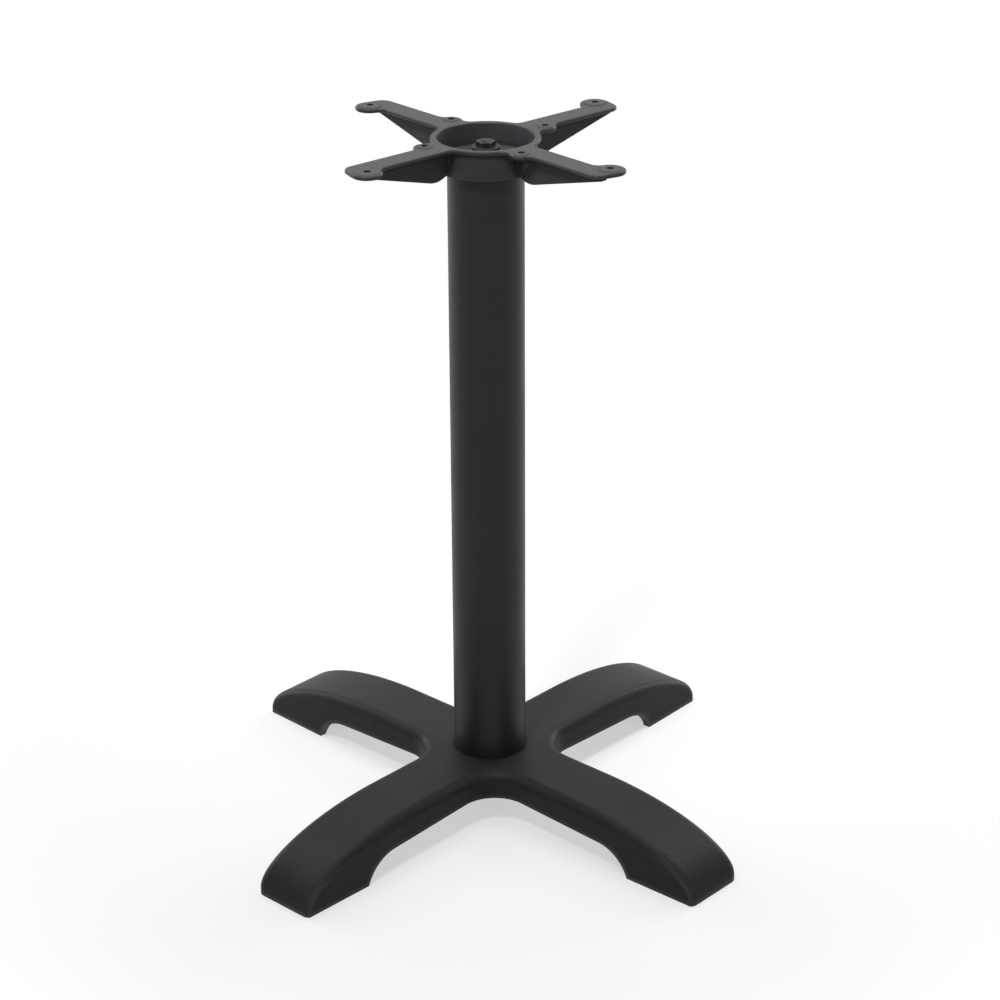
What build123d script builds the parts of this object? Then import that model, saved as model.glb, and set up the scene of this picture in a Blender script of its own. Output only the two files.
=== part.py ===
import os
from math import cos, hypot, radians, sin, sqrt

from build123d import *

# Pedestal table base: an arched four-leg foot, a round column and a four-arm spider, drawn together by a tie rod.
# Millimetres. The origin is on the floor under the column, +Z is up, and the legs lie on the diagonals.

# Heights of the whole base
table_height = 730.0
pad_rise = 1.0
arm_top = table_height - pad_rise

# Foot casting
foot_reach = 307.0
foot_top = 60.0
leg_width = 77.0
leg_bearings = (45.0, 135.0)
crotch_radius = 39.0
edge_radius = 10.0
nose_length = 167.0
toe_land = 6.0
toe_width = 71.0
toe_taper_length = 100.0
side_wall = 8.0
top_wall = 7.0
hollow_chamfer = 4.0
pad_length = 84.0
arch_height = 32.0
arch_fall = 4.5
arch_corner_length = 36.0
arch_corner_radius = 41.0
foot_boss_diameter = 46.0
foot_boss_depth = 9.0
register_height = 8.0

# Column tube
tube_diameter = 76.0
tube_wall = 2.0
tube_clearance = 0.3

# Spider casting
spider_twist = -6.0
arm_length = 171.0
arm_width = 25.0
arm_thickness = 4.0
rim_radius = 54.0
hub_top_radius = 51.0
hub_foot_radius = 48.0
hub_depth = 31.0
cup_mouth_radius = 48.0
cup_floor_radius = 43.5
cup_depth = 20.0
cup_lip_radius = 1.5
cup_corner_radius = 8.0
cup_boss_diameter = 26.0
cup_boss_height = 8.0
socket_depth = 4.5
outer_hole_circle = 320.0
outer_hole_offset = 14.5
outer_ear_radius = 15.0
inner_hole_circle = 135.0
inner_hole_offset = 13.0
inner_ear_radius = 11.0
notch_radius = 9.0
plate_chamfer = 1.0
pad_inset = 2.0
pad_slope = 65.0
cup_boss_root = 2.0
screw_hole_diameter = 7.0
rib_thickness = 7.0
rib_tip_reach = 166.0
rib_tip_drop = 3.0
rib_heel_reach = 66.0
rib_heel_depth = 33.5
rib_heel_radius = 25.0
rib_root_rise = 5.0
rib_root_chamfer = 1.5

# Tie rod and its fasteners
rod_diameter = 10.0
rod_hole_clearance = 0.5
thread_clearance = 0.1
rod_end_margin = 1.0
rod_chamfer = 0.8
nut_width = 17.0
nut_height = 5.0
nut_chamfer = 1.2
washer_diameter = 28.0
washer_thickness = 2.5
washer_hole_clearance = 0.5
washer_edge = 0.4

# How near two measures lie to count as the same one
match_tolerance = 0.01

# Levels and places that follow from the sizes above
seat_level = arm_top - hub_depth + socket_depth
cup_boss_level = arm_top - cup_depth + cup_boss_height
foot_boss_level = foot_top - top_wall - foot_boss_depth
rod_hole_radius = rod_diameter / 2 + rod_hole_clearance
crotch_reach = leg_width / 2 + crotch_radius
rod_head = cup_boss_level + washer_thickness + nut_height + rod_end_margin
rod_foot = foot_boss_level - washer_thickness - nut_height - rod_end_margin
outer_hole_reach = sqrt((outer_hole_circle / 2) ** 2 - outer_hole_offset**2)
inner_hole_reach = sqrt((inner_hole_circle / 2) ** 2 - inner_hole_offset**2)


def flat_plane(bearing, height=0.0):
    """Level plane with its x axis along a bearing."""
    return Plane((0, 0, height), x_dir=(cos(radians(bearing)), sin(radians(bearing)), 0), z_dir=(0, 0, 1))


def upright_plane(bearing, height=0.0, aside=0.0):
    """Upright plane with x outwards along a bearing and y up, through the column's axis or set aside from it."""
    across, along = sin(radians(bearing)), cos(radians(bearing))
    return Plane((aside * across, -aside * along, height), x_dir=(along, across, 0), z_dir=(across, -along, 0))


def leg_side(end_wall, roof_wall):
    """Side view of two opposite legs: level top, elliptical noses and a short upright land at each toe."""
    nose_start = foot_reach - nose_length
    end = foot_reach - end_wall
    top = foot_top - roof_wall
    with BuildSketch() as side:
        with BuildLine():
            Polyline((nose_start, top), (0, top), (0, 0), (end, 0), (end, toe_land))
            EllipticalCenterArc((nose_start, toe_land), end - nose_start, top - toe_land, arc_size=90)
        make_face()
        mirror(about=Plane.YZ)
    return side.sketch


def arch_side():
    """Side view of the open space under two opposite legs, from pad to pad."""
    pad_start = foot_reach - pad_length
    corner_start = pad_start - arch_corner_length
    corner_top = arch_height - arch_fall
    with BuildSketch() as side:
        with BuildLine():
            Polyline((0, arch_height), (0, 0), (pad_start, 0))
            RadiusArc((pad_start, 0), (corner_start, corner_top), -arch_corner_radius)
            Polyline((corner_start, corner_top), (crotch_reach, arch_height), (0, arch_height))
        make_face()
        mirror(about=Plane.YZ)
    return side.sketch


def leg_cross(wall):
    """Plan of the four legs, set in by a wall, with the crotches between them rounded."""
    with BuildSketch() as plan:
        for turn in (0, 90):
            Rectangle(2 * (foot_reach - wall), leg_width - 2 * wall, rotation=turn)
        crotches = plan.vertices().filter_by(lambda corner: hypot(corner.X, corner.Y) < leg_width)
        fillet(crotches, crotch_radius + wall)
    return plan.sketch


def toe_tapers(wall):
    """Plan of the slivers that narrow each leg towards its toe, set in by a wall."""
    taper_start = foot_reach - toe_taper_length
    with BuildSketch() as plan:
        with PolarLocations(0, 4):
            for side in (1, -1):
                leg_edge = side * (leg_width / 2 - wall)
                toe_edge = side * (toe_width / 2 - wall)
                Polygon((taper_start, leg_edge), (foot_reach, toe_edge), (foot_reach, leg_edge), align=None)
    return plan.sketch


def crossed_prisms(side):
    """Solid with the same side view along both pairs of legs."""
    with BuildPart() as prisms:
        for bearing in leg_bearings:
            with BuildSketch(upright_plane(bearing, aside=-crotch_reach)):
                add(side)
            extrude(amount=2 * crotch_reach)
    return prisms.part


def is_rim(edge):
    """True for the edges that run round the top of the cross and down to the toes."""
    middle = edge.center()
    on_centre_line = abs(abs(middle.X) - abs(middle.Y)) < match_tolerance
    upright = abs(edge.tangent_at(0.5).Z) > 1 - match_tolerance
    crotch_line = upright and edge.length > toe_land + match_tolerance
    return middle.Z > match_tolerance and not on_centre_line and not crotch_line


foot_plane = flat_plane(leg_bearings[0])

with BuildPart() as foot_hollow:
    with BuildSketch(foot_plane):
        add(leg_cross(side_wall))
        add(toe_tapers(side_wall), mode=Mode.SUBTRACT)
    extrude(amount=foot_top - top_wall)
    add(crossed_prisms(leg_side(side_wall, top_wall)), mode=Mode.INTERSECT)
    roof_edges = foot_hollow.edges().filter_by(is_rim)
    chamfer(roof_edges, hollow_chamfer)

with BuildPart() as foot_casting:
    with BuildSketch(foot_plane):
        add(leg_cross(0))
    extrude(amount=foot_top)
    add(crossed_prisms(leg_side(0, 0)), mode=Mode.INTERSECT)
    rim = foot_casting.edges().filter_by(is_rim)
    fillet(rim, edge_radius)
    with BuildSketch(foot_plane):
        add(toe_tapers(0))
    extrude(amount=foot_top, mode=Mode.SUBTRACT)
    add(foot_hollow.part, mode=Mode.SUBTRACT)
    add(crossed_prisms(arch_side()), mode=Mode.SUBTRACT)
    with BuildSketch(Plane.XY.offset(foot_boss_level)):
        Circle(foot_boss_diameter / 2)
    extrude(amount=foot_boss_depth)
    with BuildSketch(Plane.XY.offset(foot_top)):
        Circle(tube_diameter / 2 - tube_wall - tube_clearance)
    extrude(amount=register_height)
    with BuildSketch(Plane.XY.offset(foot_boss_level)):
        Circle(rod_hole_radius)
    extrude(amount=foot_top + register_height, mode=Mode.SUBTRACT)

foot_casting.part.label = "foot_casting"

with BuildPart() as column_tube:
    with BuildSketch(Plane.XY.offset(foot_top)):
        Circle(tube_diameter / 2)
        Circle(tube_diameter / 2 - tube_wall, mode=Mode.SUBTRACT)
    extrude(amount=seat_level - foot_top)
column_tube.part.label = "column_tube"

spider_bearing = leg_bearings[0] + spider_twist
spider_plane = flat_plane(spider_bearing, arm_top)
spider_side = upright_plane(spider_bearing, arm_top)


def arm_plan():
    """Plan of one arm, whose end swells to its left into the outer screw ear."""
    end_radius = arm_width / 2
    with BuildSketch() as plan:
        with Locations((arm_length - end_radius, 0)):
            Circle(end_radius)
        with Locations((outer_hole_reach, outer_hole_offset)):
            Circle(outer_ear_radius)
        make_hull(plan.edges())
        with Locations(((arm_length - end_radius) / 2, 0)):
            Rectangle(arm_length - end_radius, arm_width)
    return plan.sketch


def is_root(edge):
    """True for the inward edges where the hub and the webs meet the top plate and each other."""
    middle = spider_plane.to_local_coords(edge.center())
    reach = hypot(middle.X, middle.Y)
    beside_rib = abs(min(abs(middle.X), abs(middle.Y)) - rib_thickness / 2) < match_tolerance
    under_plate = abs(middle.Z + arm_thickness) < match_tolerance
    on_hub = hub_foot_radius < reach < hub_top_radius and middle.Z > -hub_depth
    at_tip = abs(max(abs(middle.X), abs(middle.Y)) - rib_tip_reach) < match_tolerance
    return (under_plate and (beside_rib or on_hub or at_tip)) or (on_hub and beside_rib)


def is_cup_lip(edge):
    """True for the inner edge of the rim, at the mouth of the cup."""
    at_mouth = abs(edge.radius - cup_mouth_radius) < match_tolerance
    return at_mouth and abs(edge.center().Z - arm_top) < match_tolerance


with BuildPart() as spider_casting:
    # Top plate: rim, arms and screw ears in one outline, grown and shrunk again to round its notches
    with BuildSketch(spider_plane):
        Circle(rim_radius)
        with PolarLocations(0, 4):
            add(arm_plan())
            with Locations((inner_hole_reach, -inner_hole_offset)):
                Circle(inner_ear_radius)
        offset(amount=notch_radius, mode=Mode.REPLACE)
        offset(amount=-notch_radius, mode=Mode.REPLACE)
    extrude(amount=-arm_thickness)
    plate_rims = spider_casting.edges().group_by(Axis.Z)
    chamfer(plate_rims[-1] + plate_rims[0], plate_chamfer)

    # Hub under the rim, narrowing towards the column
    with BuildSketch(spider_side):
        with BuildLine():
            Polyline((0, -hub_depth), (hub_foot_radius, -hub_depth), (hub_top_radius, -arm_thickness / 2))
            Polyline((hub_top_radius, -arm_thickness / 2), (0, -arm_thickness / 2), (0, -hub_depth))
        make_face()
    revolve(axis=Axis.Z)

    # One web under each arm, deepest beside the hub
    for turn in (0, 90, 180, 270):
        with BuildSketch(upright_plane(spider_bearing + turn, arm_top, aside=-rib_thickness / 2)) as rib_side:
            with BuildLine():
                Polyline(
                    (0, -arm_thickness / 2),
                    (rib_tip_reach, -arm_thickness / 2),
                    (rib_tip_reach, -arm_thickness - rib_tip_drop),
                    (rib_heel_reach, -rib_heel_depth),
                    (hub_foot_radius, rib_root_rise - hub_depth),
                    (0, rib_root_rise - hub_depth),
                    close=True,
                )
            make_face()
            heel = rib_side.vertices().sort_by(Axis.Y)[0]
            fillet(heel, rib_heel_radius)
        extrude(amount=rib_thickness)
    roots = spider_casting.edges().filter_by(is_root)
    chamfer(roots, rib_root_chamfer)

    # Cup open at the top, with a boss for the tie rod left standing on its floor
    with BuildSketch(spider_side) as cup_side:
        with BuildLine():
            Polyline(
                (0, pad_rise),
                (cup_mouth_radius, pad_rise),
                (cup_mouth_radius, 0),
                (cup_floor_radius, -cup_depth),
                (cup_boss_diameter / 2, -cup_depth),
                (cup_boss_diameter / 2, cup_boss_height - cup_depth),
                (0, cup_boss_height - cup_depth),
                close=True,
            )
        make_face()
        floor_corners = cup_side.vertices().group_by(Axis.Y)[0].sort_by(Axis.X)
        fillet(floor_corners[0], cup_boss_root)
        fillet(floor_corners[-1], cup_corner_radius)
    revolve(axis=Axis.Z, mode=Mode.SUBTRACT)
    lip = spider_casting.edges().filter_by(GeomType.CIRCLE).filter_by(is_cup_lip)
    fillet(lip, cup_lip_radius)

    # Socket for the tube's end and the tie rod's hole
    with BuildSketch(spider_plane.offset(-hub_depth)):
        Circle(tube_diameter / 2 + tube_clearance)
    extrude(amount=socket_depth, mode=Mode.SUBTRACT)
    with BuildSketch(spider_plane.offset(-hub_depth)):
        Circle(rod_hole_radius)
    extrude(amount=hub_depth, mode=Mode.SUBTRACT)

    # Raised screw pads on the ears, sloping down to the plate all round
    with BuildSketch(spider_plane):
        with PolarLocations(0, 4):
            with Locations((outer_hole_reach, outer_hole_offset)):
                Circle(outer_ear_radius - pad_inset)
            with Locations((inner_hole_reach, -inner_hole_offset)):
                Circle(inner_ear_radius - pad_inset)
    extrude(amount=pad_rise, taper=pad_slope)
    with BuildSketch(spider_plane.offset(-arm_thickness)):
        with PolarLocations(0, 4):
            with Locations((outer_hole_reach, outer_hole_offset), (inner_hole_reach, -inner_hole_offset)):
                Circle(screw_hole_diameter / 2)
    extrude(amount=arm_thickness + pad_rise, mode=Mode.SUBTRACT)
spider_casting.part.label = "spider_casting"

with BuildPart() as tie_rod:
    with BuildSketch(Plane.XY.offset(rod_foot)):
        Circle(rod_diameter / 2)
    extrude(amount=rod_head - rod_foot)
    chamfer(tie_rod.edges().filter_by(GeomType.CIRCLE), rod_chamfer)
tie_rod.part.label = "tie_rod"


def washer(level, label):
    """Flat washer standing on a level."""
    with BuildPart() as ring:
        with BuildSketch(Plane.XY.offset(level)):
            Circle(washer_diameter / 2)
            Circle(rod_diameter / 2 + washer_hole_clearance, mode=Mode.SUBTRACT)
        extrude(amount=washer_thickness)
        outside = ring.edges().filter_by(GeomType.CIRCLE).group_by(SortBy.RADIUS)[-1]
        chamfer(outside, washer_edge)
    ring.part.label = label
    return ring


def hex_nut(level, label):
    """Hexagon nut standing on a level, its corners turned down at both ends."""
    corner_radius = nut_width / sqrt(3)
    with BuildPart() as nut:
        with BuildSketch(Plane.XY.offset(level)):
            RegularPolygon(nut_width / 2, 6, major_radius=False)
        extrude(amount=nut_height)
        with BuildSketch(Plane.XZ):
            with BuildLine():
                Polyline(
                    (0, level),
                    (corner_radius - nut_chamfer, level),
                    (corner_radius, level + nut_chamfer / 2),
                    (corner_radius, level + nut_height - nut_chamfer / 2),
                    (corner_radius - nut_chamfer, level + nut_height),
                    (0, level + nut_height),
                    close=True,
                )
            make_face()
        revolve(axis=Axis.Z, mode=Mode.INTERSECT)
        with BuildSketch(Plane.XY.offset(level)):
            Circle(rod_diameter / 2 + thread_clearance)
        extrude(amount=nut_height, mode=Mode.SUBTRACT)
    nut.part.label = label
    return nut


top_washer = washer(cup_boss_level, "top_washer")
top_nut = hex_nut(cup_boss_level + washer_thickness, "top_nut")
bottom_washer = washer(foot_boss_level - washer_thickness, "bottom_washer")
bottom_nut = hex_nut(foot_boss_level - washer_thickness - nut_height, "bottom_nut")

os.makedirs("parts", exist_ok=True)
pieces = (foot_casting, column_tube, spider_casting, tie_rod, top_washer, top_nut, bottom_washer, bottom_nut)
for piece in pieces:
    export_step(piece.part, f"parts/{piece.part.label}.step")
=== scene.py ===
# %% [markdown]
# # A pedestal table base in black cast iron
#
# The real object is a cafe table's base: an arched cross of four hollow legs, a round steel tube
# standing on it, and a four-armed spider on top that the table top is screwed to. One long tie rod
# pulls the three together. The shapes come from a CAD model that is already packed as a frame. This
# lesson loads that frame, sets up the photograph's camera and a white studio, and then gives every
# piece its finish.

# %% Load the frame
from math import hypot, pi, radians

import bmesh
import bpy
from mathutils import Matrix, Vector


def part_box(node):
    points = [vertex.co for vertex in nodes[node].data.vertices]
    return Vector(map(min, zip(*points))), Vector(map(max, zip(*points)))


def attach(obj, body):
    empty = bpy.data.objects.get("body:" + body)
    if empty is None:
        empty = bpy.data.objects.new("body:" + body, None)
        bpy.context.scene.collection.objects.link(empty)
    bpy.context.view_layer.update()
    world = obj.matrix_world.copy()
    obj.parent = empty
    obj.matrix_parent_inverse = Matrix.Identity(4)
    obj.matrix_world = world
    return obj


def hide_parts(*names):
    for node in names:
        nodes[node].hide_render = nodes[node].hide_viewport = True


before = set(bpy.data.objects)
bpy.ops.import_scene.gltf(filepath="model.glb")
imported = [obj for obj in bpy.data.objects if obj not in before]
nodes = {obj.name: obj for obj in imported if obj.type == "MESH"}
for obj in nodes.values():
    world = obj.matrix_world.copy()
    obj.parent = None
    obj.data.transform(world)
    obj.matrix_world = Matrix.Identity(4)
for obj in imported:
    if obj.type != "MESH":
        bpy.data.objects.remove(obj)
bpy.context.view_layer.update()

scene = bpy.context.scene
print("pieces in the frame:", ", ".join(sorted(nodes)))

# %% [markdown]
# ## The camera
#
# A product photograph is taken with a long lens from a few metres away, so upright lines stay nearly
# upright. The camera could be aimed by an empty and a constraint. Here its place, its three angles
# and its lens are set as plain numbers, because they were measured: the toes, the screw holes and the
# tube's two sides in the photograph fix all of them. A camera in Blender looks along its own -Z, so
# the tilt is counted from straight down, and the roll turns it about that line of sight.

# %% Place the camera
camera_place = Vector((-0.0976, -2.5219, 1.4710))
camera_yaw, camera_dip, camera_roll = radians(-2.49), radians(24.08), radians(-0.31)
lens_millimetres = 96.94

camera_data = bpy.data.cameras.new("studio_camera")
camera_data.sensor_fit = "HORIZONTAL"
camera_data.lens = lens_millimetres
camera = bpy.data.objects.new("studio_camera", camera_data)
scene.collection.objects.link(camera)
aim = Matrix.Rotation(camera_yaw, 4, "Z") @ Matrix.Rotation(pi / 2 - camera_dip, 4, "X")
camera.matrix_world = Matrix.Translation(camera_place) @ aim @ Matrix.Rotation(camera_roll, 4, "Z")
scene.camera = camera
scene.view_settings.view_transform = "Standard"
print("camera to column:", round(hypot(*camera_place.xy), 3), "m")

# %% [markdown]
# ## Small helpers for node trees
#
# A material or a world is a tree of nodes. Making each node by hand takes three or four lines, which
# hides what the tree does. Four helpers keep it readable. One adds a node and fills in its settings
# and sockets, and the others use it for what is needed most: a sum, a range that is mapped to
# another, and a noise whose grain is given in metres, so that the same pattern has its true size on
# every piece.

# %% Node helpers
def add_node(tree, kind, sockets=None, **settings):
    """Adds a node; each socket is given a plain value or linked from another node's output."""
    node = tree.nodes.new(kind)
    for name, value in settings.items():
        setattr(node, name, value)
    for name, value in (sockets or {}).items():
        if isinstance(value, bpy.types.NodeSocket):
            tree.links.new(value, node.inputs[name])
        else:
            node.inputs[name].default_value = value
    return node


def add_math(tree, operation, first, second):
    """Adds a math node on two values or outputs and gives its output."""
    return add_node(tree, "ShaderNodeMath", {0: first, 1: second}, operation=operation).outputs[0]


def add_range(tree, value, low, high, to_low, to_high):
    """Maps a value from one range to another, held at both ends, and gives the output."""
    sockets = {"Value": value, "From Min": low, "From Max": high, "To Min": to_low, "To Max": to_high}
    return add_node(tree, "ShaderNodeMapRange", sockets).outputs["Result"]


def add_noise(tree, place, grain_size, detail=2.0, roughness=0.5):
    """Adds noise whose blotches are about one grain size across, in metres, and gives its factor."""
    sockets = {"Vector": place, "Scale": 1 / grain_size, "Detail": detail, "Roughness": roughness}
    return add_node(tree, "ShaderNodeTexNoise", sockets).outputs["Fac"]


helpers = (add_node, add_math, add_range, add_noise)
print("node helpers:", ", ".join(helper.__name__ for helper in helpers))

# %% [markdown]
# ## The studio floor
#
# The base stands on a sheet of white paper that runs far past the picture. A plane or a curved
# backdrop would do as well. A round disc is used, so that the floor looks the same from every side.

# %% Lay the floor
floor_radius = 9.0
floor_steps = 96

floor_mesh = bpy.data.meshes.new("studio_floor")
shape = bmesh.new()
bmesh.ops.create_circle(shape, cap_ends=True, segments=floor_steps, radius=floor_radius)
shape.to_mesh(floor_mesh)
shape.free()
floor = bpy.data.objects.new("studio_floor", floor_mesh)
scene.collection.objects.link(floor)
print("floor of radius", floor_radius, "m, with", floor_steps, "corners")

# %% [markdown]
# ## White paper
#
# The photograph stands the base on pure white. A white picture could be made by burning the floor
# out with light, but then the base would be overlit as well. Instead the far floor shows plain white
# to the camera and to reflections, by Light Path, and only the floor near the legs is a real pale
# surface that holds the shadow. A share of white is mixed in there as well, because the
# photograph's own shadow is very light.

# %% Whiten the floor
shadow_near, shadow_far = 0.30, 0.58
shadow_lift = 0.55
paper_white = (0.90, 0.90, 0.90, 1)
pure_white = (1, 1, 1, 1)


def seen_directly(tree):
    """Gives 1 for rays from the camera, a reflection or glass, and 0 for light that bounces."""
    path = add_node(tree, "ShaderNodeLightPath").outputs
    return add_math(tree, "MAXIMUM", path["Is Camera Ray"],
                    add_math(tree, "MAXIMUM", path["Is Glossy Ray"], path["Is Transmission Ray"]))


paper = bpy.data.materials.new("white_paper")
paper.use_nodes = True
tree = paper.node_tree
tree.nodes.clear()
place = add_node(tree, "ShaderNodeTexCoord").outputs["Object"]
distance = add_node(tree, "ShaderNodeVectorMath", {0: place}, operation="LENGTH").outputs["Value"]
far_share = add_range(tree, distance, shadow_near, shadow_far, shadow_lift, 1.0)
pale = add_node(tree, "ShaderNodeBsdfDiffuse", {"Color": paper_white})
white = add_node(tree, "ShaderNodeEmission", {"Color": pure_white, "Strength": 1.0})
share = add_math(tree, "MULTIPLY", far_share, seen_directly(tree))
mixed = add_node(tree, "ShaderNodeMixShader", {0: share, 1: pale.outputs[0], 2: white.outputs[0]})
add_node(tree, "ShaderNodeOutputMaterial", {"Surface": mixed.outputs[0]})
floor_mesh.materials.append(paper)
print("shadow kept to", shadow_far, "m from the column")

# %% [markdown]
# ## Light
#
# Black metal shows its form by what it mirrors, so the lights are large and stand where the satin
# coat can mirror them. The tube is bright along both sides and dark in the middle, and the foot has
# two crossing shadows in front of the tube: that is a softbox behind on each side. A big one
# overhead lights the tops. The cup and the front of the hub are clearly seen, but the toes are dark.
# So a last, small softbox stands high in front, on the left, with a grid that narrows its beam to
# the spider. Because it is steep, the ears and the hub throw their shadows down.

# %% Hang the softboxes
def hang_softbox(name, stand, aim_at, width, height, watts, beam=pi):
    """Adds a soft light at a place, turned towards a point; a grid on it narrows the beam."""
    data = bpy.data.lights.new(name, "AREA")
    data.shape = "RECTANGLE"
    data.size, data.size_y = width, height
    data.energy = watts
    data.spread = beam
    box = bpy.data.objects.new(name, data)
    box.location = stand
    box.rotation_euler = (Vector(aim_at) - Vector(stand)).to_track_quat("-Z", "Y").to_euler()
    box.visible_camera = False
    scene.collection.objects.link(box)
    print(name, "of", watts, "W stands at", stand)


hang_softbox("overhead_softbox", stand=(0.0, 0.3, 1.85), aim_at=(0, 0, 0.4),
             width=1.3, height=1.1, watts=14)
hang_softbox("left_back_softbox", stand=(-1.7, 1.5, 1.2), aim_at=(0, 0, 0.35),
             width=0.9, height=2.0, watts=23)
hang_softbox("right_back_softbox", stand=(1.7, 1.5, 1.2), aim_at=(0, 0, 0.35),
             width=0.9, height=2.0, watts=26)
hang_softbox("front_softbox", stand=(-0.55, -1.25, 2.5), aim_at=(0, 0, 0.8),
             width=0.35, height=0.35, watts=2.3, beam=radians(40))

# %% [markdown]
# ## The white room
#
# Light comes back from the walls of a white room and fills the shadows. Walls could be modelled, but
# they would stand in the way of other views. The world does it instead: it looks pure white to the
# camera and in reflections, and it lights the base with a weaker glow.

# %% Fill the room
room_glow = 0.27

world = bpy.data.worlds.new("white_room")
world.use_nodes = True
tree = world.node_tree
tree.nodes.clear()
strength = add_range(tree, seen_directly(tree), 0.0, 1.0, room_glow, 1.0)
glow = add_node(tree, "ShaderNodeBackground", {"Color": pure_white, "Strength": strength})
add_node(tree, "ShaderNodeOutputWorld", {"Surface": glow.outputs[0]})
scene.world = world
print("the room glows at", room_glow, "of white")

# %% [markdown]
# ## Edges, painted corner shade and painted toe highlights
#
# A coat wears on outward edges. Inward corners get painted shade, and the rounded corners of the
# toes near the floor get a painted highlight. These places could be painted by hand on a UV map. Here
# nodes find them on any shape.
# The Bevel node finds edges: where its rounded normal leaves the true one, an edge is near. It finds
# inward corners too, so Ambient Occlusion tells the two apart. Turned to look inside the metal,
# Ambient Occlusion also finds outward corners that are well rounded, as the toes' corners are. It looks
# at the piece itself only, so that the floor doesn't count as a corner.

# %% Find edges and corners
edge_samples = 6
corner_samples = 8
edge_agreement = (0.995, 0.80)
corner_openness = (0.80, 0.98)
outward_openness = (0.97, 0.80)
full_span = (0.0, 1.0)


def edge_share(tree, reach):
    """Gives how close a point is to a sharp edge, from 0 on open faces to 1 on the edge."""
    bevel = add_node(tree, "ShaderNodeBevel", {"Radius": reach}, samples=edge_samples)
    straight = add_node(tree, "ShaderNodeNewGeometry").outputs["Normal"]
    agree = add_node(tree, "ShaderNodeVectorMath", {0: bevel.outputs["Normal"], 1: straight},
                     operation="DOT_PRODUCT")
    return add_range(tree, agree.outputs["Value"], *edge_agreement, *full_span)


def openness(tree, reach, inside=False):
    """Gives how free of the piece's own faces the room round a point is, outside or inside it."""
    occlusion = add_node(tree, "ShaderNodeAmbientOcclusion", {"Distance": reach},
                         samples=corner_samples, inside=inside, only_local=True)
    return occlusion.outputs["AO"]


def open_share(tree, reach):
    """Gives 0 deep in an inward corner and 1 on a free face or an outward edge."""
    return add_range(tree, openness(tree, reach), *corner_openness, *full_span)


def toe_highlight_share(tree, place, reach, top):
    """Gives where a painted highlight goes: on outward corners, sharp or rounded, below a height."""
    corner = add_range(tree, openness(tree, reach, inside=True), *outward_openness, *full_span)
    height = add_node(tree, "ShaderNodeSeparateXYZ", {0: place}).outputs["Z"]
    return add_math(tree, "MULTIPLY", corner, add_range(tree, height, top / 2, top, 1.0, 0.0))


print("edges are found with", edge_samples, "samples, corners with", corner_samples)

# %% [markdown]
# ## The colour of the coat
#
# The castings and the tube are powder coated in black. A flat black would look like a hole in the
# picture. So the colour is built in layers, each blended over the last by its own share: slow
# patches, dust on what faces up that is partly painted light on the tops, wear on the outward edges,
# painted shade in the inward corners, and a painted highlight on the toes' rounded corners near the
# floor. All of them are shades of one black, with a faint blue cast.

# %% Layer the colour
blue_cast = Vector((1.0, 0.965, 1.10))
noise_span = (0.3, 0.7)
dark_patch, light_patch = 0.8, 1.2
# Dust and painted top light: faces that point up are made lighter, partly as dust and partly for the
# light that falls on them.
dust_and_top_light_slope, dust_and_top_light_most, dust_and_top_light_shade = (0.80, 1.0), (0.0, 0.7), 1.7
dust_and_top_light_specks, dust_and_top_light_cover = (0.35, 0.75), (0.4, 1.0)
wear_reach, wear_grain, wear_cover = 0.0022, (0.42, 0.62), (0.1, 0.8)
worn_grey = (0.050, 0.050, 0.052, 1)
# Painted shade: inward corners are darkened to this share of the coat's shade.
corner_reach, corner_painted_shade = 0.006, 0.6
# Painted highlight: the rounded outward corners of the toes near the floor are made a lighter grey.
toe_highlight_patches, toe_highlight_cover, toe_highlight_level = (0.35, 0.65), (0.5, 1.0), 0.064


def blend_colour(tree, share, first, second):
    """Mixes two colours, each a plain value or an output, and gives the result."""
    mix = add_node(tree, "ShaderNodeMix", data_type="RGBA")
    factor, colour_a, colour_b = 0, 6, 7
    for index, value in ((factor, share), (colour_a, first), (colour_b, second)):
        if isinstance(value, bpy.types.NodeSocket):
            tree.links.new(value, mix.inputs[index])
        else:
            mix.inputs[index].default_value = value
    return mix.outputs[2]


def coat_grey(level):
    """Gives a grey with the faint blue cast of the coat."""
    return (*(blue_cast * level), 1)


def coat_colour(tree, place, shade, noises, free, toe_highlight_height):
    """Layers the coat's colour; with a toe highlight height, the outward corners below it get a painted
    highlight.
    """
    colour = blend_colour(tree, add_range(tree, noises["patches"], *noise_span, *full_span),
                          coat_grey(dark_patch * shade), coat_grey(light_patch * shade))
    normal = add_node(tree, "ShaderNodeNewGeometry").outputs["Normal"]
    upward = add_node(tree, "ShaderNodeSeparateXYZ", {0: normal}).outputs["Z"]
    # Dust and painted top light: upward faces are blended towards a lighter grey.
    dust_and_top_light = add_math(tree, "MULTIPLY", add_range(tree, upward, *dust_and_top_light_slope, *dust_and_top_light_most),
                     add_range(tree, noises["specks"], *dust_and_top_light_specks, *dust_and_top_light_cover))
    colour = blend_colour(tree, dust_and_top_light, colour, coat_grey(dust_and_top_light_shade * shade))
    worn = add_math(tree, "MULTIPLY", edge_share(tree, wear_reach),
                    add_range(tree, noises["pebble"], *wear_grain, *wear_cover))
    colour = blend_colour(tree, add_math(tree, "MULTIPLY", worn, free), colour, worn_grey)
    # Painted shade: inward corners are blended towards a deeper black, where shade falls.
    colour = blend_colour(tree, free, coat_grey(corner_painted_shade * shade), colour)
    # Painted highlight: the toes' rounded outward corners near the floor are blended towards a lighter
    # grey.
    if toe_highlight_height:
        toe_highlight = add_math(tree, "MULTIPLY", toe_highlight_share(tree, place, corner_reach, toe_highlight_height),
                          add_range(tree, noises["patches"], *toe_highlight_patches, *toe_highlight_cover))
        colour = blend_colour(tree, toe_highlight, colour, coat_grey(toe_highlight_level))
    return colour


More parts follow.
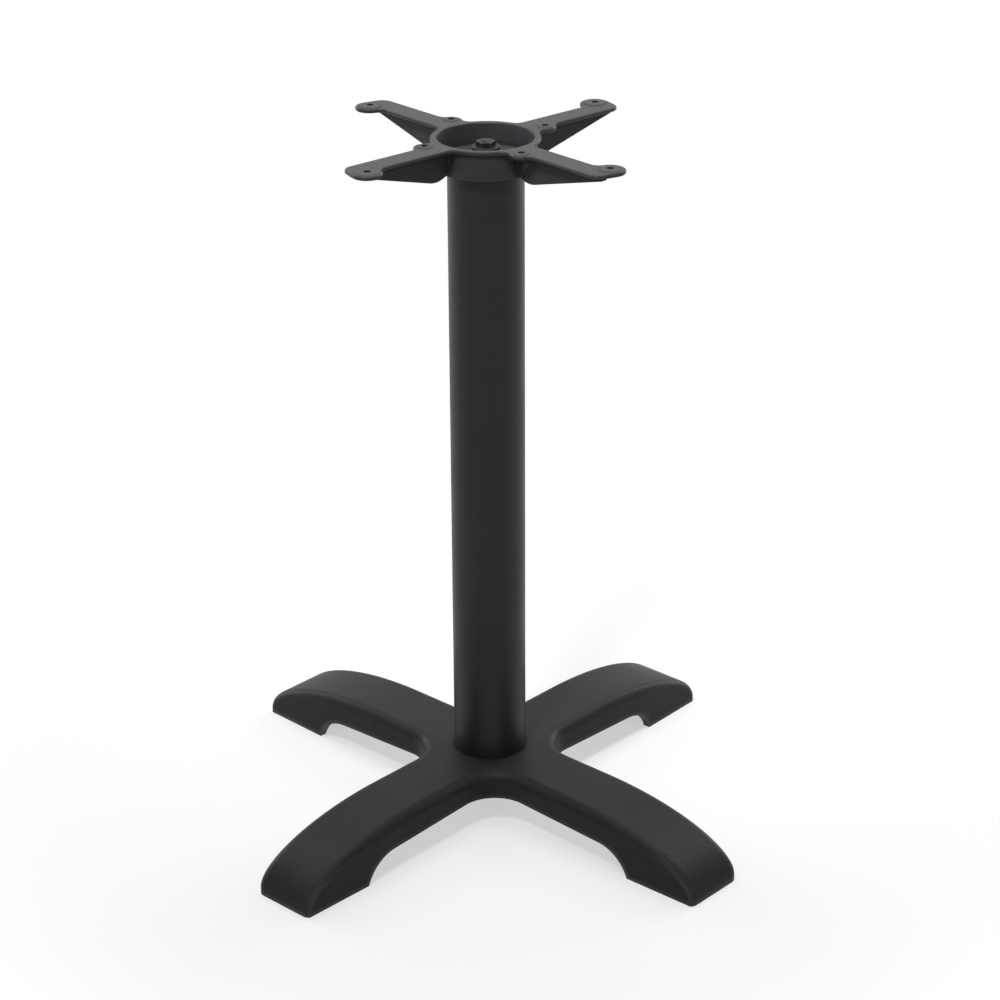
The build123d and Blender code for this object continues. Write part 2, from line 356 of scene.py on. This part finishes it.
print("worn edges reach", wear_reach * 1000, "mm, dark corners", corner_reach * 1000, "mm")

# %% [markdown]
# ## The satin black coat
#
# The powder melts into a satin skin that hides the sand-cast iron but follows its waviness. The
# gloss could be one number, but then every face would shine alike. Here it changes with the patches
# and the specks, and corners are duller. The pebble of the sand mould and the orange peel of the
# powder are only parts of a millimetre deep, so they are bump and not mesh. One function makes all
# three coats: the spider's is the palest, partly as painted light for the stronger light that falls
# on it, and the tube's is the smoothest and the glossiest.

# %% Mix the three coats
patch_size, speck_size, pebble_size, peel_size = 0.050, 0.0009, 0.0035, 0.0016
patch_gloss, speck_gloss = (0.39, 0.49), (-0.03, 0.05)
corner_dulling = (0.3, 0.0)


def coat_gloss(tree, noises, free):
    """Gives the coat's roughness."""
    gloss = add_math(tree, "ADD", add_range(tree, noises["patches"], *noise_span, *patch_gloss),
                     add_range(tree, noises["specks"], *noise_span, *speck_gloss))
    return add_math(tree, "ADD", gloss, add_range(tree, free, *full_span, *corner_dulling))


def satin_coat(name, shade, mirror, pebble_depth, peel_depth, toe_highlight_height=0.0):
    """Makes the black coat; a casting has a deeper pebble under it than a drawn tube."""
    coat = bpy.data.materials.new(name)
    coat.use_nodes = True
    tree = coat.node_tree
    tree.nodes.clear()
    place = add_node(tree, "ShaderNodeTexCoord").outputs["Object"]
    noises = {
        "patches": add_noise(tree, place, patch_size, detail=4.0, roughness=0.6),
        "specks": add_noise(tree, place, speck_size, detail=3.0, roughness=0.7),
        "pebble": add_noise(tree, place, pebble_size, detail=4.0, roughness=0.6),
        "peel": add_noise(tree, place, peel_size),
    }
    free = open_share(tree, corner_reach)
    waves = add_node(tree, "ShaderNodeBump", {
        "Height": noises["pebble"], "Strength": 1.0, "Distance": pebble_depth})
    skin = add_node(tree, "ShaderNodeBump", {
        "Height": noises["peel"], "Strength": 1.0, "Distance": peel_depth,
        "Normal": waves.outputs["Normal"]})
    surface = add_node(tree, "ShaderNodeBsdfPrincipled", {
        "Base Color": coat_colour(tree, place, shade, noises, free, toe_highlight_height),
        "Roughness": coat_gloss(tree, noises, free), "Specular IOR Level": mirror,
        "Normal": skin.outputs["Normal"]})
    add_node(tree, "ShaderNodeOutputMaterial", {"Surface": surface.outputs[0]})
    print("coat", name, "has", len(tree.nodes), "nodes")
    return coat


foot_coat = satin_coat("foot_coat", shade=0.015, mirror=0.10,
                       pebble_depth=0.00020, peel_depth=0.00006, toe_highlight_height=0.045)
# The spider's coat is paler than the foot's partly as painted light: it stands in for the stronger
# light on the spider.
spider_coat = satin_coat("spider_coat", shade=0.028, mirror=0.14,
                         pebble_depth=0.00020, peel_depth=0.00006)
tube_coat = satin_coat("tube_coat", shade=0.0098, mirror=0.23,
                       pebble_depth=0.00005, peel_depth=0.00005)

# %% [markdown]
# ## The steel of the fasteners
#
# The nut and washer in the cup are blackened, oiled steel. The black is a dull skin of oxide that
# hides most of the metal, so the shader is dark and only partly metallic. It has the fine scratches
# of turning and handling: noise stretched along one direction by a Mapping node, used for the gloss
# and as a little bump. On the edges the oxide is rubbed through to the steel.

# %% Mix the steel
scratch_size, scratch_stretch, scratch_depth = 0.0012, (1.0, 1.0, 14.0), 0.00005
stain_size, stain_span = 0.006, (0.35, 0.65)
oxide_dark, oxide_light = (0.018, 0.018, 0.019, 1), (0.031, 0.030, 0.031, 1)
rub_reach, rub_grain, rub_cover = 0.0008, (0.35, 0.6), (0.3, 1.0)
rubbed_steel = (0.07, 0.07, 0.07, 1)
scratch_gloss, stain_gloss = (0.42, 0.54), (-0.04, 0.06)


def oiled_steel(name):
    """Makes dark fastener steel with fine stretched scratches."""
    steel = bpy.data.materials.new(name)
    steel.use_nodes = True
    tree = steel.node_tree
    tree.nodes.clear()
    place = add_node(tree, "ShaderNodeTexCoord").outputs["Object"]
    stretched = add_node(tree, "ShaderNodeMapping", {"Vector": place, "Scale": scratch_stretch})
    scratches = add_noise(tree, stretched.outputs[0], scratch_size, detail=4.0, roughness=0.65)
    stains = add_noise(tree, place, stain_size, detail=3.0)
    colour = blend_colour(tree, add_range(tree, stains, *stain_span, *full_span),
                          oxide_dark, oxide_light)
    rubbed = add_math(tree, "MULTIPLY", edge_share(tree, rub_reach),
                      add_range(tree, scratches, *rub_grain, *rub_cover))
    colour = blend_colour(tree, rubbed, colour, rubbed_steel)
    gloss = add_math(tree, "ADD", add_range(tree, scratches, *noise_span, *scratch_gloss),
                     add_range(tree, stains, *noise_span, *stain_gloss))
    bump = add_node(tree, "ShaderNodeBump", {
        "Height": scratches, "Strength": 0.6, "Distance": scratch_depth})
    surface = add_node(tree, "ShaderNodeBsdfPrincipled", {
        "Base Color": colour, "Metallic": 0.3, "Roughness": gloss, "Specular IOR Level": 0.10,
        "Normal": bump.outputs["Normal"]})
    add_node(tree, "ShaderNodeOutputMaterial", {"Surface": surface.outputs[0]})
    print("steel", name, "has", len(tree.nodes), "nodes")
    return steel


fastener_steel = oiled_steel("oiled_steel")

# %% [markdown]
# ## Dressing the CAD pieces
#
# In a workshop each piece is coated before the base is put together. Here each piece gets its coat by
# the name that it has in the frame. The frame's objects keep their shape and their place: only what
# is in their material slots changes.

# %% Give each piece its finish
finishes = {
    "foot_casting": foot_coat,
    "spider_casting": spider_coat,
    "column_tube": tube_coat,
    "top_washer": fastener_steel,
    "top_nut": fastener_steel,
    "bottom_washer": fastener_steel,
    "bottom_nut": fastener_steel,
    "tie_rod": fastener_steel,
}
for node_name, finish in finishes.items():
    node_mesh = nodes[node_name].data
    node_mesh.materials.clear()
    node_mesh.materials.append(finish)
    print(node_name, "is finished in", finish.name)

# %% [markdown]
# ## The threaded tie rod
#
# The rod is M10 and cut with a thread at both ends. In the CAD model it is a plain bar, so the
# visual rod stands in for it. A thread could be faked by bump, but then its outline would stay
# smooth. A spin that climbs as it turns makes the real helix: a small triangle is swept round the
# axis by one pitch a turn, with a little flat left between the turns. The ridge overlaps a core bar
# with chamfered ends, so that bar and ridges are closed shells.

# %% Cut the thread
thread_pitch = 0.0015
thread_depth = 0.00092
thread_length = 0.030
turn_steps = 32
core_overlap = 0.0002
root_flat = 0.00015
bar_segments = 48

rod_low, rod_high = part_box("tie_rod")
rod_radius = (rod_high.x - rod_low.x) / 2
core_radius = rod_radius - thread_depth


def add_core(shape):
    """Adds the bar under the thread, with both ends chamfered."""
    length = rod_high.z - rod_low.z
    middle = Matrix.Translation((0, 0, (rod_low.z + rod_high.z) / 2))
    bmesh.ops.create_cone(shape, cap_ends=True, segments=bar_segments, radius1=core_radius,
                          radius2=core_radius, depth=length, matrix=middle)
    rims = [edge for edge in shape.edges if edge.verts[0].co.z == edge.verts[1].co.z]
    bmesh.ops.bevel(shape, geom=rims, offset=thread_depth / 2, offset_type="OFFSET",
                    affect="EDGES", segments=1, profile=0.5, material=-1)


def add_ridge(shape, start):
    """Adds one thread, climbing from a height on the rod for the thread's length."""
    inner = core_radius - core_overlap
    width = thread_pitch - root_flat
    corners = [shape.verts.new(place) for place in (
        (inner, 0, start), (inner, 0, start + width), (rod_radius, 0, start + width / 2))]
    ridge = shape.faces.new(corners)
    turns = int(thread_length / thread_pitch) - 1
    bmesh.ops.spin(shape, geom=[ridge], axis=(0, 0, 1), cent=(0, 0, 0), angle=2 * pi * turns,
                   steps=turns * turn_steps, dvec=(0, 0, thread_pitch / turn_steps))


shape = bmesh.new()
add_core(shape)
add_ridge(shape, rod_low.z)
add_ridge(shape, rod_high.z - thread_length)
bmesh.ops.recalc_face_normals(shape, faces=shape.faces)
rod_mesh = bpy.data.meshes.new("threaded_rod")
shape.to_mesh(rod_mesh)
shape.free()
rod_mesh.materials.append(fastener_steel)
threaded_rod = bpy.data.objects.new("threaded_rod", rod_mesh)
scene.collection.objects.link(threaded_rod)
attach(threaded_rod, "root")
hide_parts("tie_rod")
print("threaded rod:", len(rod_mesh.polygons), "faces, radius", round(rod_radius * 1000, 2), "mm")
